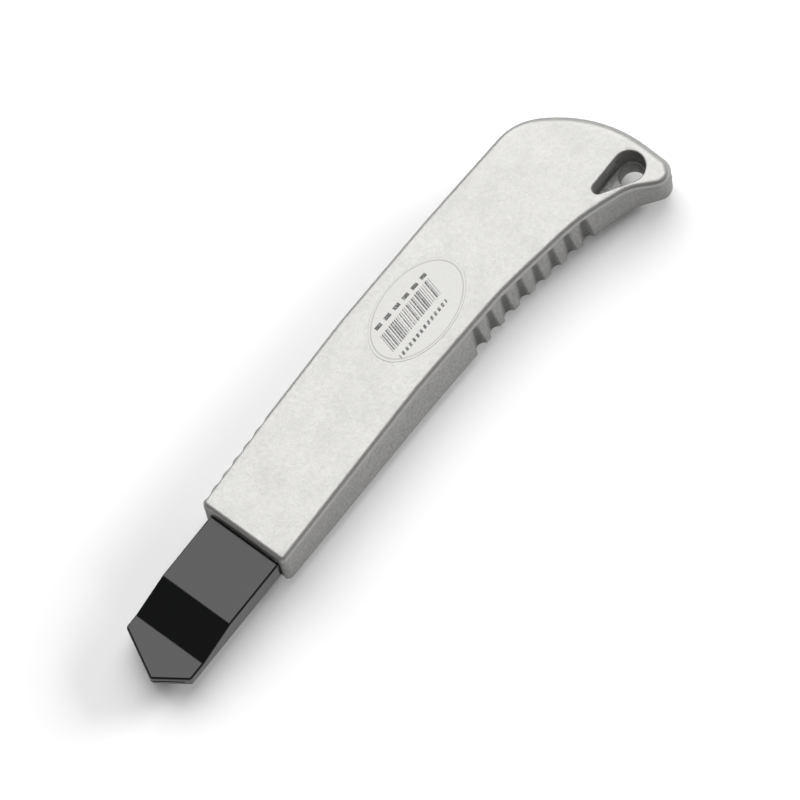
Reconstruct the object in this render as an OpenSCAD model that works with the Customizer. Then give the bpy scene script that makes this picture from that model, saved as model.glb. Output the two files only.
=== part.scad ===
// Snap-off utility knife with a cast metal body, a magazine for spare blades and a slide lock.
// +X runs from the nose to the tail, +Y towards the spine, +Z out of the broad face.
// The knife lies on its slider button, which touches z = 0.

/* [Blade] */
// Length of a snap-off blade
blade_l = 100; // [80:1:125]
// Width of a blade
blade_w = 18; // [14:0.5:25]
// Thickness of a blade
blade_t = 0.5; // [0.4:0.05:0.7]
// Distance between two score lines
score_pitch = 11; // [8:0.5:14]
// Depth of a score line
score_d = 0.12; // [0.05:0.01:0.18]
// Slant of the point and of the score lines, measured from the edge
point_angle = 60; // [50:1:70]
// Diameter of the hole in the blade's rear end
blade_hole_d = 4; // [3:0.1:5]
// Distance from the blade's rear end to its hole
blade_hole_in = 4.5; // [3.5:0.1:7]
// Width of the ground edge
bevel_w = 1.6; // [1:0.1:2.5]
// Number of spare blades in the magazine
spare_count = 3; // [1:1:4]

/* [Nose] */
// How far the nose stands out of the body
nose_l = 40.8; // [36:0.1:50]
// Side wall of the nose
nose_wall = 1.4; // [1:0.1:2.5]
// Height of the nose above the floor of the blade slot, at the tip
tip_roof = 2.25; // [1.5:0.05:3]
// Roof over the magazine
magazine_roof = 1.2; // [0.8:0.1:2]
// Distance from the nose's point back to the foot of the ramp
ramp_foot = 10.5; // [8:0.1:12]
// Distance from the nose's point back to the top of the ramp
ramp_top = 21.8; // [18:0.1:26]
// How far the point lies in front of the corner on the spine side
point_spine = 6.85; // [4:0.05:9]
// How far the point lies in front of the corner on the belly side
point_belly = 5.65; // [4:0.05:8]
// Distance of the point from the middle line, towards the belly
point_off = 2.4; // [0:0.1:4]
// How far the blade's point stays inside the nose
blade_inset = 5.3; // [4.8:0.1:8]

/* [Blade guide] */
// Thickness of the guide's floor under the blade
floor_t = 1.75; // [1.2:0.05:3]
// Side wall of the guide inside the body
guide_wall = 0.8; // [0.6:0.1:1.5]
// Half width of the opening in the floor that the carriage runs in
channel_hw = 6.2; // [5.5:0.1:7]
// Front end of the carriage's channel
channel_x0 = 10.5; // [6:0.5:20]
// Solid end of the guide behind the channel
guide_end_l = 8.5; // [7:0.5:14]
// Free height over the spare blades for the follower and its spring
spring_room = 2.35; // [1.6:0.05:4]

/* [Body] */
// Wall around the cavity, measured at the broad face
wall_t = 1.25; // [1:0.05:3]
// Thickness of the broad face
face_t = 1.6; // [1.2:0.1:3]
// Space between the broad face and the guide's roof
rib_h = 2.4; // [1:0.1:4]
// Front wall around the nose
front_wall = 1.8; // [1.2:0.1:3]
// Edge radius around the broad face
face_r = 1.4; // [0.8:0.1:2]
// Edge radius around the back
back_r = 1; // [0.5:0.1:1.5]
// Extra depth of the belly side at the front
front_belly = 1; // [0:0.1:3]
// Extra height of the spine side over the nose's side wall
front_spine = 2.7; // [2.2:0.1:4]
// Rise of the spine line between its front and its crest
spine_rise = 2.6; // [0:0.1:5]
// Length of the solid tail behind the guide
tail_l = 25.1; // [24:0.1:35]
// How far the tail's hook drops below the waist
tail_drop = 14.9; // [12:0.1:20]

/* [Grip] */
// Number of finger scallops along the belly
scallop_count = 8; // [4:1:9]
// Distance between two scallops
scallop_pitch = 5.29; // [4:0.01:6]
// Radius of a scallop
scallop_r = 1.75; // [1.3:0.05:4]
// Number of thumb notches along the spine
notch_count = 6; // [3:1:8]
// Distance between two thumb notches
notch_pitch = 4.42; // [3.5:0.01:6]
// Depth of a thumb notch
notch_d = 0.55; // [0.2:0.05:0.8]
// Radius of a thumb notch
notch_r = 2.8; // [2:0.1:5]

/* [Lanyard hole] */
// Radius of the hole through the tail
hole_r = 3.7; // [2.5:0.1:3.8]
// Radius of the recess around the hole
recess_r = 4; // [3:0.1:4.2]
// Radius of the recess's narrow end
recess_end_r = 1.35; // [0.8:0.05:2]
// Length of the recess between its two centres
recess_l = 9.35; // [6:0.05:10]
// Depth of the recess
recess_d = 7.2; // [4:0.1:9]
// Wall around the hole and the recess
recess_wall = 1.3; // [1:0.1:2]

/* [Back cover and lock] */
// Thickness of the back cover
cover_t = 1.4; // [1:0.1:2.5]
// Thickness of the rack strip
rack_t = 0.7; // [0.5:0.05:1]
// Half width of the rack strip
rack_hw = 6; // [5:0.1:7]
// Distance between two lock notches
rack_pitch = 4; // [3:0.5:6]
// Width of the slot for the button's neck
slot_w = 4.5; // [4:0.1:6]
// Length of a lock tooth
tooth_l = 0.6; // [0.4:0.05:1]

/* [Slider] */
// Length of the carriage
carriage_l = 28; // [27:0.5:36]
// How far the button stands out of the back
button_h = 3.4; // [2.8:0.1:6]
// Length of the button
button_l = 24; // [16:0.5:27]
// Width of the button
button_w = 13; // [10:0.5:18]
// Travel of the button when it is pressed
press = 0.8; // [0.4:0.05:0.8]
// Length of the button's neck
neck_l = 8; // [6:0.5:9]

/* [Fits] */
// Clearance between the guide and the body, and around the cover
fit = 0.15; // [0.1:0.01:0.3]
// Clearance beside a blade
side_gap = 0.2; // [0.1:0.05:0.4]
// Clearance over and under a blade
blade_gap = 0.05; // [0.03:0.01:0.1]
// Clearance of the carriage in its channel
run_gap = 0.2; // [0.1:0.05:0.3]

/* [Hidden] */
$fn = 48;
arc_step = 9;
// Cuts run past what they cut by this much
over = 1;
// Farther out than the body reaches to either side
far = 60;
// Overlap that keeps two cuts from only touching
lap = 0.02;

// Small parts and their seats
rivet_r = 0.75;
small_rivet_r = 0.7;
spring_rivet_r = 0.9;
head_room = 0.1;
play = 0.05;
seat_r = 2.1;
seat_h = 1;
screw_head_r = 2;
flat_head_r = 1.9;
flat_head_h = 0.7;
rivet_y = 5;
guide_screw_y = 5.5;
label_rx = 15.2;
label_ry = 9.4;
label_t = 0.08;

// Heights, from the button up to the broad face
z_back = button_h;
z_cover = z_back + cover_t;
z_rack = z_cover + rack_t;
z_slot = z_rack + floor_t;
z_blade = z_slot + blade_gap;
blade_step = blade_t + blade_gap;
z_spares = z_blade + blade_step;
z_follower = z_spares + spare_count * blade_step;
z_roof = z_spares + spare_count * blade_step + spring_room;
z_guide = z_roof + magazine_roof;
z_inner = z_guide + rib_h;
z_face = z_inner + face_t;
z_tip = z_slot + tip_roof;

// Half widths around the middle line of the blade
blade_hw = blade_w / 2;
bay_hw = blade_hw + side_gap;
nose_hw = bay_hw + nose_wall;
guide_hw = bay_hw + guide_wall;
waist_dn = guide_hw + fit + wall_t;
front_up = nose_hw + front_spine;

// Places along X, from the front face of the body
nose_x = -nose_l;
blade_x0 = nose_x + blade_inset;
blade_x1 = blade_x0 + blade_l;
stud_x = blade_x1 - blade_hole_in;
magazine_wall = 2;
magazine_x0 = nose_x + ramp_top + magazine_wall;
spare_x0 = magazine_x0 + side_gap;
magazine_x1 = spare_x0 + blade_l + side_gap;
load_travel = spare_x0 - blade_x0;
carriage_x0 = stud_x - 4;
carriage_x1 = carriage_x0 + carriage_l;
reach = carriage_x0 - channel_x0 - 0.5;
channel_x1 = carriage_x1 + load_travel + 0.5;
guide_x1 = channel_x1 + guide_end_l;
cavity_x1 = guide_x1 + 1;
bulkhead_t = 2;
body_l = guide_x1 + tail_l;

// The carriage's window, the neck and the lock
window_x0 = carriage_x0 + 10;
window_x1 = window_x0 + 12;
window_hw = 4.6;
neck_x = (window_x0 + window_x1) / 2;
neck_hw = slot_w / 2 - run_gap;
slot_x0 = neck_x - neck_l / 2 - reach - 0.5;
slot_x1 = neck_x + neck_l / 2 + load_travel + 0.5;
tooth_x = window_x0 + 0.6;
tooth_y0 = slot_w / 2 + 0.75;
tooth_y1 = tooth_y0 + 0.9;

// Screws
pilot_r = 0.9;
screw_r = 1.05;
boss_r = 2;
boss_y = guide_hw + 0.35 + boss_r;
cover_screw_at = [
    [body_l - 104, boss_y], [body_l - 53, boss_y], [body_l - 29, boss_y], [body_l - 29, -boss_y]
];
guide_screw_at = [for (side = [-1, 1]) [guide_x1 - 4, side * guide_screw_y]];

// Corners of the broad face's outline, counter-clockwise: x, y, rounding radius
face_corners = [
    [0, -waist_dn - front_belly, 1.6],
    [body_l - 83, -waist_dn, 200],
    [body_l - 51, -waist_dn - 1, 90],
    [body_l - 25, -waist_dn - 4.6, 60],
    [body_l - 12, -waist_dn - 9.4, 14],
    [body_l - 0.8, -waist_dn - tail_drop - 5.7, 4],
    [body_l, front_up - 16.4, 35],
    [body_l - 14, front_up - 0.35, 16],
    [body_l - 80, front_up + spine_rise, 700],
    [0, front_up, 1.6]
];
// How much farther out the side wall stands at the back than at the face
belly_flare = [
    [0, 0.3], [body_l - 83, 1.6], [body_l - 65, 1.6], [body_l - 42, 1],
    [body_l - 23, 1], [body_l - 13, 0.5], [body_l - 7, -0.6]
];
spine_flare = 0.4;

// Vector helpers
function unit(v) = v / norm(v);
function flat(p) = [p[0], p[1]];
function ahead(c, i) = unit(flat(c[(i + 1) % len(c)]) - flat(c[i]));
function behind(c, i) = unit(flat(c[i]) - flat(c[(i + len(c) - 1) % len(c)]));
function right_of(d) = [d[1], -d[0]];
function turn_of(c, i) = let (a = behind(c, i), b = ahead(c, i))
    atan2(a[0] * b[1] - a[1] * b[0], a * b);

// Rounds the corners of an outline. Each point comes with its outward normal.
function rounded(c) = [
    for (i = [0 : len(c) - 1])
        let (
            turn = turn_of(c, i),
            back = c[i][2] * tan(abs(turn) / 2),
            start = flat(c[i]) - behind(c, i) * back,
            n0 = right_of(behind(c, i)),
            centre = start - n0 * c[i][2] * sign(turn),
            steps = max(2, ceil(abs(turn) / arc_step)),
            first = atan2(n0[1], n0[0])
        )
        for (k = [0 : steps])
            let (a = first + turn * k / steps, n = [cos(a), sin(a)])
            [centre + n * c[i][2] * sign(turn), n]
];

// Moves every side of an outline inwards, and its rounding with it
function inset(c, d) = [
    for (i = [0 : len(c) - 1])
        let (
            n0 = right_of(behind(c, i)),
            n1 = right_of(ahead(c, i)),
            p = flat(c[i]) - (n0 + n1) * d / (1 + n0 * n1),
            r = c[i][2] - d * sign(turn_of(c, i))
        )
        [p[0], p[1], max(r, 0.3)]
];
function points_of(outline) = [for (p = outline) p[0]];

face_line = rounded(face_corners);
function flare_at(p, n) = n[1] < -0.3 ? lookup(p[0], belly_flare) : spine_flare * max(0, n[1]);
function belly_y(x) = lookup(x, [for (i = [0 : 5]) [face_corners[i][0], face_corners[i][1]]]);
function spine_y(x) = lookup(x, [for (i = [9 : -1 : 6]) [face_corners[i][0], face_corners[i][1]]]);

// The widest outline of the body, and the middle of its box, which becomes the origin
wide_line = [for (q = face_line) q[0] + q[1] * max(0, flare_at(q[0], q[1]))];
mid_x = (nose_x + max([for (p = wide_line) p[0]])) / 2;
mid_y = (min([for (p = wide_line) p[1]]) + max([for (p = wide_line) p[1]])) / 2;
module placed() {
    translate([-mid_x, -mid_y, 0]) children();
}

// The hole and its recess
hole_at = [body_l - 7.5, -waist_dn - 5.85];
recess_dir = [-cos(16.4), sin(16.4)];
recess_end_at = hole_at + recess_dir * recess_l;

// A prism over a plan outline, from one height to another
module prism(outline, z0, z1) {
    translate([0, 0, z0]) linear_extrude(z1 - z0) polygon(outline);
}
module block(x0, x1, y0, y1, z0, z1) {
    translate([x0, y0, z0]) cube([x1 - x0, y1 - y0, z1 - z0]);
}
module rod(at, r, z0, z1) {
    translate([at[0], at[1], z0]) cylinder(r = r, h = z1 - z0);
}
// A prism across the knife over a side outline
module slab(outline, y0, y1) {
    translate([0, y1, 0]) rotate([90, 0, 0]) linear_extrude(y1 - y0) polygon(outline);
}

// Rounded and flared outer shape of the body, as rings from above the face to below the back
module body_rings() {
    n = len(face_line);
    spare = 1;
    face_rings = [[1, -spare / face_r], for (a = [0 : 30 : 90]) [1 - sin(a), 1 - cos(a)]];
    back_rings = [for (a = [0 : 45 : 90]) [1 - cos(a), sin(a)], [1, 1 + spare / back_r]];
    points = [
        for (ring = face_rings, q = face_line)
            let (p = q[0] - q[1] * face_r * ring[0])
            [p[0], p[1], z_face - face_r * ring[1]],
        for (ring = back_rings, q = face_line)
            let (p = q[0] + q[1] * (flare_at(q[0], q[1]) - back_r * ring[0]))
            [p[0], p[1], z_back + back_r * (1 - ring[1])]
    ];
    rings = len(face_rings) + len(back_rings);
    sides = [
        for (r = [0 : rings - 2], i = [0 : n - 1])
            let (a = r * n + i, b = r * n + (i + 1) % n)
            each [[a, b, b + n], [a, b + n, a + n]]
    ];
    caps = [
        [for (i = [n - 1 : -1 : 0]) i],
        [for (i = [0 : n - 1]) (rings - 1) * n + i]
    ];
    polyhedron(points, concat(sides, caps), convexity = 4);
}

module body_shell() {
    intersection() {
        body_rings();
        block(-5, body_l + 5, -far, far, z_back, z_face);
    }
}

// Tear-drop plan of the recess: two circles and the strip between their outer tangents
module recess_plan(grow, z0, z1) {
    r0 = recess_r + grow;
    r1 = recess_end_r + grow;
    lean = acos((r0 - r1) / recess_l);
    dir = atan2(recess_dir[1], recess_dir[0]);
    function rim(at, r, a) = at + (r - lap) * [cos(a), sin(a)];
    rod(hole_at, r0, z0, z1);
    rod(recess_end_at, r1, z0, z1);
    prism([
        rim(hole_at, r0, dir + lean), rim(recess_end_at, r1, dir + lean),
        rim(recess_end_at, r1, dir - lean), rim(hole_at, r0, dir - lean)
    ], z0, z1);
}

// What stays standing inside the cavity
module body_inside() {
    block(cavity_x1, cavity_x1 + bulkhead_t, -far, far, z_cover, z_inner);
    for (x = [body_l - 110 : 26 : body_l - 32])
        block(x, x + 1.5, -guide_hw, guide_hw, z_guide, z_inner);
    for (at = cover_screw_at)
        rod(at, boss_r, z_cover, z_inner);
    for (at = guide_screw_at)
        rod(at, boss_r, z_guide, z_inner);
    recess_plan(recess_wall, z_face - recess_d - recess_wall, z_inner);
    rod(hole_at, hole_r + recess_wall, z_back, z_inner);
}

// The cast body with its cavity, before the openings and the grip are cut
module body_blank() {
    cavity = points_of(rounded(inset(face_corners, wall_t)));
    difference() {
        body_shell();
        difference() {
            intersection() {
                prism(cavity, z_back - 1, z_inner);
                block(front_wall, body_l, -far, far, z_back - 2, z_face);
            }
            body_inside();
        }
    }
}

module body_openings() {
    block(-1, front_wall + 1, -nose_hw - fit, nose_hw + fit, z_rack - fit, z_guide + fit);
    recess_plan(0, z_face - recess_d, z_face + 1);
    rod(hole_at, hole_r, z_back - 1, z_face);
    for (at = cover_screw_at) {
        rod(at, pilot_r, z_cover - 1, z_inner - 1);
        screw_seat(at);
    }
    for (at = guide_screw_at)
        rod(at, pilot_r, z_guide - 1, z_inner + 0.4);
}

module finger_scallops() {
    for (k = [0 : scallop_count - 1]) {
        x = body_l - 62.5 + k * scallop_pitch;
        rod([x, belly_y(x) - scallop_r + 0.1], scallop_r, z_back - 1, z_face - face_r);
    }
}

module thumb_notches() {
    for (k = [0 : notch_count - 1]) {
        x = 2.8 + k * notch_pitch;
        rod([x, spine_y(x) + notch_r - notch_d], notch_r, z_back - 1, z_face + 1);
    }
}

module casing() {
    color("lightgray") placed() difference() {
        difference() {
            body_blank();
            body_openings();
        }
        finger_scallops();
        thumb_notches();
    }
}

// Conical seat of a cover screw, which reaches into the body's rim beside the cover
module screw_seat(at) {
    translate([at[0], at[1], z_back - lap / 2])
        cylinder(r1 = seat_r, r2 = screw_r + head_room, h = seat_h);
}

module back_cover() {
    plan = points_of(rounded(inset(face_corners, wall_t + fit)));
    color("silver") placed() difference() {
        intersection() {
            prism(plan, z_back, z_cover);
            block(front_wall + fit, body_l, -far, far, 0, z_face);
        }
        block(slot_x0, slot_x1, -slot_w / 2, slot_w / 2, z_back - 1, z_cover + 1);
        rod(hole_at, hole_r + recess_wall + fit, z_back - 1, z_cover + 1);
        for (at = cover_screw_at) {
            rod(at, screw_r + head_room, z_back - over, z_cover + over);
            screw_seat(at);
        }
        for (at = rivet_at())
            rod(at, rivet_r, z_back - over, z_cover + over);
    }
}

// A screw with its head at the low end: countersunk, or flat
module screw(at, z0, z1, head_r, head_h, countersunk) {
    translate([at[0], at[1], z0]) difference() {
        union() {
            cylinder(r1 = head_r, r2 = countersunk ? pilot_r : head_r, h = head_h);
            cylinder(r = pilot_r, h = z1 - z0);
        }
        for (a = [0, 90])
            rotate(a) translate([-head_r * 0.6, -0.2, -1]) cube([head_r * 1.2, 0.4, 1.5]);
    }
}

module cover_screws() {
    color("dimgray") placed() for (at = cover_screw_at)
        screw(at, z_back + play, z_inner - 1.5, screw_head_r, seat_h - play, true);
}

// Plan of the nose and guide: a house-shaped nose, and a narrower guide behind the front wall
module guide_plan(z0, z1) {
    prism([
        [nose_x, -point_off], [nose_x + point_belly, -nose_hw], [front_wall, -nose_hw],
        [front_wall, -guide_hw], [guide_x1, -guide_hw], [guide_x1, guide_hw],
        [front_wall, guide_hw], [front_wall, nose_hw], [nose_x + point_spine, nose_hw]
    ], z0, z1);
}

module nose_housing() {
    foot_x = nose_x + ramp_foot;
    top_x = nose_x + ramp_top;
    color([0.07, 0.07, 0.08]) placed() difference() {
        guide_plan(z_slot, z_guide);
        slab([
            [nose_x - 1, z_tip], [foot_x, z_tip], [top_x, z_guide],
            [top_x, z_guide + 1], [nose_x - 1, z_guide + 1]
        ], -far, far);
        block(nose_x - 1, magazine_x1, -bay_hw, bay_hw, z_slot - 1, z_blade + blade_t + 0.15);
        block(magazine_x0, magazine_x1, -bay_hw, bay_hw, z_slot - 1, z_roof);
        for (at = guide_screw_at)
            rod(at, screw_r, z_slot - 1, z_guide + 1);
    }
}

module guide_floor() {
    color([0.1, 0.1, 0.11]) placed() difference() {
        guide_plan(z_rack, z_slot);
        block(channel_x0, channel_x1, -channel_hw, channel_hw, z_rack - 1, z_slot + 1);
        for (at = guide_screw_at) {
            rod(at, screw_r, z_rack - 1, z_slot + 1);
            rod(at, flat_head_r + run_gap, z_rack - over, z_rack + flat_head_h + head_room);
        }
    }
}

module guide_screws() {
    color("dimgray") placed() for (at = guide_screw_at)
        screw(at, z_rack + head_room, z_inner + 0.2, flat_head_r, flat_head_h, false);
}

function rivet_at() = [
    for (x = [channel_x0 + 1, channel_x1 - 2.5], side = [-1, 1]) [x, side * rivet_y]
];

module lock_rack() {
    first = -floor((reach + 2) / rack_pitch);
    last = floor((load_travel + 2) / rack_pitch);
    color("slategray") placed() difference() {
        block(channel_x0 - 2, channel_x1 + 1, -rack_hw, rack_hw, z_cover, z_rack);
        block(slot_x0, slot_x1, -slot_w / 2, slot_w / 2, z_cover - 1, z_rack + 1);
        for (k = [first : last], side = [-1, 1])
            translate([tooth_x + k * rack_pitch, side * (tooth_y0 + tooth_y1) / 2, z_cover - 1])
                translate([-0.2, -0.6, 0]) cube([tooth_l + 0.4, 1.2, rack_t + 2]);
        for (at = rivet_at())
            rod(at, rivet_r, z_cover - over, z_rack + over);
    }
}

module rack_rivets() {
    color("lightslategray") placed() for (at = rivet_at())
        rod(at, rivet_r, z_back + head_room, z_rack);
}

// A blade with its point at x = 0, its ground edge on the belly side and its lower face at z = 0
module snap_blade() {
    run = blade_w / tan(point_angle);
    section = [
        [-blade_hw, 0.4 * blade_t], [-blade_hw + bevel_w, 0], [blade_hw, 0],
        [blade_hw, blade_t], [-blade_hw + bevel_w, blade_t], [-blade_hw, 0.6 * blade_t]
    ];
    scores = floor((blade_l - run - 14) / score_pitch);
    difference() {
        rotate([90, 0, 90]) linear_extrude(blade_l) polygon(section);
        prism([[-1, -blade_hw - 1.8], [run, blade_hw], [run, blade_hw + 1], [-1, blade_hw + 1]],
            -1, blade_t + 1);
        translate([blade_l - blade_hole_in, 0, -1]) cylinder(d = blade_hole_d, h = blade_t + 2);
        for (k = [1 : scores])
            translate([k * score_pitch, -blade_hw, blade_t - score_d])
                rotate(point_angle) translate([-3, -0.09, 0]) cube([blade_w * 1.4, 0.18, 1]);
    }
}

module blade() {
    color("gainsboro") placed() translate([blade_x0, 0, z_blade]) snap_blade();
}

module spare_blades() {
    color("gainsboro") placed() for (k = [0 : spare_count - 1])
        translate([spare_x0, 0, z_spares + k * blade_step]) snap_blade();
}

follower_t = 0.5;
follower_x0 = magazine_x0 + 14;
follower_x1 = magazine_x1 - 10;

module follower_plate() {
    color("lightsteelblue") placed() difference() {
        block(follower_x0, follower_x1, -bay_hw + 1.2, bay_hw - 1.2, z_follower,
            z_follower + follower_t);
        for (x = [follower_x0 + 8, follower_x1 - 8])
            rod([x, 0], 1.2, z_follower - 1, z_follower + 1);
    }
}

// Side outline of a strip whose height follows a wave between two heights
function strip(x0, x1, z0, z1, t, waves, n) = let (
    wave = [for (i = [0 : n])
        [x0 + (x1 - x0) * i / n, z0 + (z1 - z0 - t) * (1 - cos(360 * waves * i / n)) / 2]]
) concat(wave, [for (i = [n : -1 : 0]) wave[i] + [0, t]]);

module follower_spring() {
    color("steelblue") placed() slab(
        strip(follower_x0 + 4, follower_x1 - 4, z_follower + follower_t, z_roof, 0.3, 2, 24), -4, 4);
}

module carriage() {
    pad = 0.55;
    z0 = z_rack + play;
    z1 = z_slot - play;
    color([0.2, 0.2, 0.22]) placed() difference() {
        block(carriage_x0, carriage_x1, -channel_hw + run_gap, channel_hw - run_gap, z0, z1);
        block(window_x0, window_x1, -window_hw, window_hw, z0 - 1, z1 + 1);
        block(carriage_x0 + 1.5, window_x0 - 1, -3.6, 3.6, z1 - pad, z1 + 1);
        block(window_x1 - 1, carriage_x1 - 0.8, -3.1, 3.1, z1 - 0.3, z1 + 1);
        for (at = hook_rivet_at())
            rod(at, small_rivet_r, z0 - over, z1 + over);
        rod([carriage_x1 - 3, 0], spring_rivet_r, z0 - over, z1 + over);
    }
}

function hook_rivet_at() = [for (side = [-1, 1]) [stud_x + 3.4, side * 2.2]];

module blade_hook() {
    z1 = z_slot - play;
    color("darkgray") placed() difference() {
        union() {
            block(carriage_x0 + 1.6, window_x0 - 1.1, -3.5, 3.5, z1 - 0.55, z1);
            rod([stud_x, 0], blade_hole_d / 2 - 0.25, z1 - 0.3, z_blade + blade_t - play);
        }
        for (at = hook_rivet_at())
            rod(at, small_rivet_r, z_rack, z_slot + over);
    }
}

module hook_rivets() {
    color("lightslategray") placed() for (at = hook_rivet_at())
        rod(at, small_rivet_r, z_rack + head_room, z_slot - play);
}

// Leaf that presses the button out; its two teeth drop into the rack
module lock_spring() {
    t = 0.25;
    z1 = z_slot - play;
    low = z_rack + 0.75;
    color("steelblue") placed() difference() {
        union() {
            slab([
                [tooth_x, low], [window_x1 - 3.5, low], [window_x1 - 0.8, z1 - t],
                [carriage_x1 - 1, z1 - t], [carriage_x1 - 1, z1], [window_x1 - 1, z1],
                [window_x1 - 3.7, low + t], [tooth_x, low + t]
            ], -3, 3);
            block(tooth_x, tooth_x + tooth_l, -tooth_y1, tooth_y1, low, low + t);
            for (y = [-tooth_y1, tooth_y0])
                block(tooth_x, tooth_x + tooth_l, y, y + tooth_y1 - tooth_y0, z_cover + play, low + t);
        }
        rod([carriage_x1 - 3, 0], spring_rivet_r, z_rack, z_slot + over);
    }
}

module spring_rivet() {
    color("lightslategray") placed() rod([carriage_x1 - 3, 0], spring_rivet_r, z_rack + head_room, z_slot - play);
}

grip_d = 0.8;
module button_plan(in, z0, z1) {
    l = button_l / 2 - in;
    w = button_w / 2 - in;
    r = 5 - in;
    prism(points_of(rounded([
        [neck_x - l, -w, r], [neck_x + l, -w, r], [neck_x + l, w, r], [neck_x - l, w, r]
    ])), z0, z1);
}

module thumb_button() {
    gap = press + 0.1;
    color([0.05, 0.05, 0.06]) placed() difference() {
        union() {
            button_plan(0.5, 0.5, 1);
            button_plan(0, 1, z_back - gap);
            block(neck_x - neck_l / 2, neck_x + neck_l / 2, -neck_hw, neck_hw, 1, z_rack + 0.1);
        }
        button_plan(2, 0, grip_d + 0.2);
        rod([neck_x, 0], small_rivet_r, z_cover - 1.5, z_rack + over);
    }
}

// Soft pad with cross ribs, let into the button's outer face
module button_grip() {
    ribs = 7;
    rib_pitch = (button_l - 8) / ribs;
    color([0.25, 0.25, 0.26]) placed() difference() {
        button_plan(2.05, 0, grip_d + 0.2);
        for (k = [0 : ribs])
            translate([neck_x + (k - ribs / 2) * rib_pitch, -button_w, 0])
                rotate([-90, 0, 0]) cylinder(r = 0.55, h = 2 * button_w);
    }
}

module button_retainer() {
    z0 = z_rack + 0.1;
    color("darkgray") placed() difference() {
        block(neck_x - 3.8, neck_x + 4, -3, 3, z0, z0 + 0.6);
        rod([neck_x, 0], small_rivet_r, z0 - over, z0 + 2);
    }
}

module retainer_screw() {
    color("dimgray") placed() rod([neck_x, 0], small_rivet_r, z_cover - 1.4, z_rack + 0.7);
}

module label() {
    color("whitesmoke") placed() translate([body_l - 66.9, 1.6, 0])
        prism([for (a = [0 : 7.5 : 359]) [label_rx * cos(a), label_ry * sin(a)]],
            z_face, z_face + label_t);
}

casing();
back_cover();
cover_screws();
nose_housing();
guide_floor();
guide_screws();
lock_rack();
rack_rivets();
spare_blades();
follower_plate();
follower_spring();
blade();
carriage();
blade_hook();
hook_rivets();
lock_spring();
spring_rivet();
thumb_button();
button_grip();
button_retainer();
retainer_screw();
label();
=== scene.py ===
"""Looks of a snap-off utility knife: cast metal body, black nose, slide button and printed oval film.

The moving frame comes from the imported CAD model. Each operator builds or finishes one group of pieces,
and the last one sets the stage. Lengths in the outline helpers are millimetres in the knife's own plan:
x runs back from the body's front face, y is measured from the blade's middle line, z from the button.
"""
from math import acos, atan2, ceil, cos, pi, radians, sin, sqrt, tan

import bmesh
import bpy
from bpy.props import FloatProperty, FloatVectorProperty, IntProperty, PointerProperty
from mathutils import Matrix, Vector


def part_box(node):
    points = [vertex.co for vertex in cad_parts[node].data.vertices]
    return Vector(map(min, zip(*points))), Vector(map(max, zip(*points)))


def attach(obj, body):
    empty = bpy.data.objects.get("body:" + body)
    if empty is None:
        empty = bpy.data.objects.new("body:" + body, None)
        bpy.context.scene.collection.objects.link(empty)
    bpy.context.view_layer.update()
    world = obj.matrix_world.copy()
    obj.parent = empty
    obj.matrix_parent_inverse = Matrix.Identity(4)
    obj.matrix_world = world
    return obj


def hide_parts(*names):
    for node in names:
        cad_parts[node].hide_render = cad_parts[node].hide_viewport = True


bl_info = {
    "name": "Utility Knife",
    "version": (1, 0, 0),
    "blender": (4, 5, 0),
    "location": "View3D > Sidebar > Knife",
    "description": "Builds the visible pieces and finishes of a snap-off utility knife",
    "category": "Object",
}

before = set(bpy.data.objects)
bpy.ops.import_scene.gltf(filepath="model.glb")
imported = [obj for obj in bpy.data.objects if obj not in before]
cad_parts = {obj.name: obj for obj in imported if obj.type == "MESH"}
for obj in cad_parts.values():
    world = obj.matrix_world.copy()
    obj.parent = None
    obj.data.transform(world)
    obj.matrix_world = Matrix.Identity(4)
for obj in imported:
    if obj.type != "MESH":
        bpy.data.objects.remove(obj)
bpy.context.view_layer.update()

MM = 0.001
FRONT_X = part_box("casing")[0].x
MIDDLE_Y = (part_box("nose_housing")[0].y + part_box("nose_housing")[1].y) / 2


# ---------------------------------------------------------------- places and outlines

def spot(x, y, z):
    """A point of the knife's plan, in metres in the shared frame."""
    return Vector((FRONT_X + x * MM, MIDDLE_Y + y * MM, z * MM))


def plan_of(point):
    """The plan millimetres of a point in the shared frame."""
    return (point.x - FRONT_X) / MM, (point.y - MIDDLE_Y) / MM, point.z / MM


def node_z(node, end):
    """The lowest (0) or highest (1) height of a CAD node, in millimetres."""
    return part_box(node)[end].z / MM


BACK_Z = node_z("casing", 0)
FACE_Z = node_z("casing", 1)
COVER_Z = node_z("back_cover", 1)
RACK_Z = node_z("guide_floor", 0)
SLOT_Z = node_z("guide_floor", 1)
GUIDE_Z = node_z("nose_housing", 1)
NOSE_X = (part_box("nose_housing")[0].x - FRONT_X) / MM
GUIDE_X1 = (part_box("nose_housing")[1].x - FRONT_X) / MM
BODY_L = GUIDE_X1 + 25.1
NOSE_HW = (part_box("nose_housing")[1].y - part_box("nose_housing")[0].y) / MM / 2
BAY_HW = NOSE_HW - 1.4
GUIDE_HW = BAY_HW + 0.8
WAIST = GUIDE_HW + 1.4
FRONT_UP = NOSE_HW + 2.7
WALL = 1.25
FRONT_WALL = 1.8
FIT = 0.15
FILL_Z = FACE_Z - 1.6
NECK_X = ((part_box("thumb_button")[0].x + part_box("thumb_button")[1].x) / 2 - FRONT_X) / MM

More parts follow.
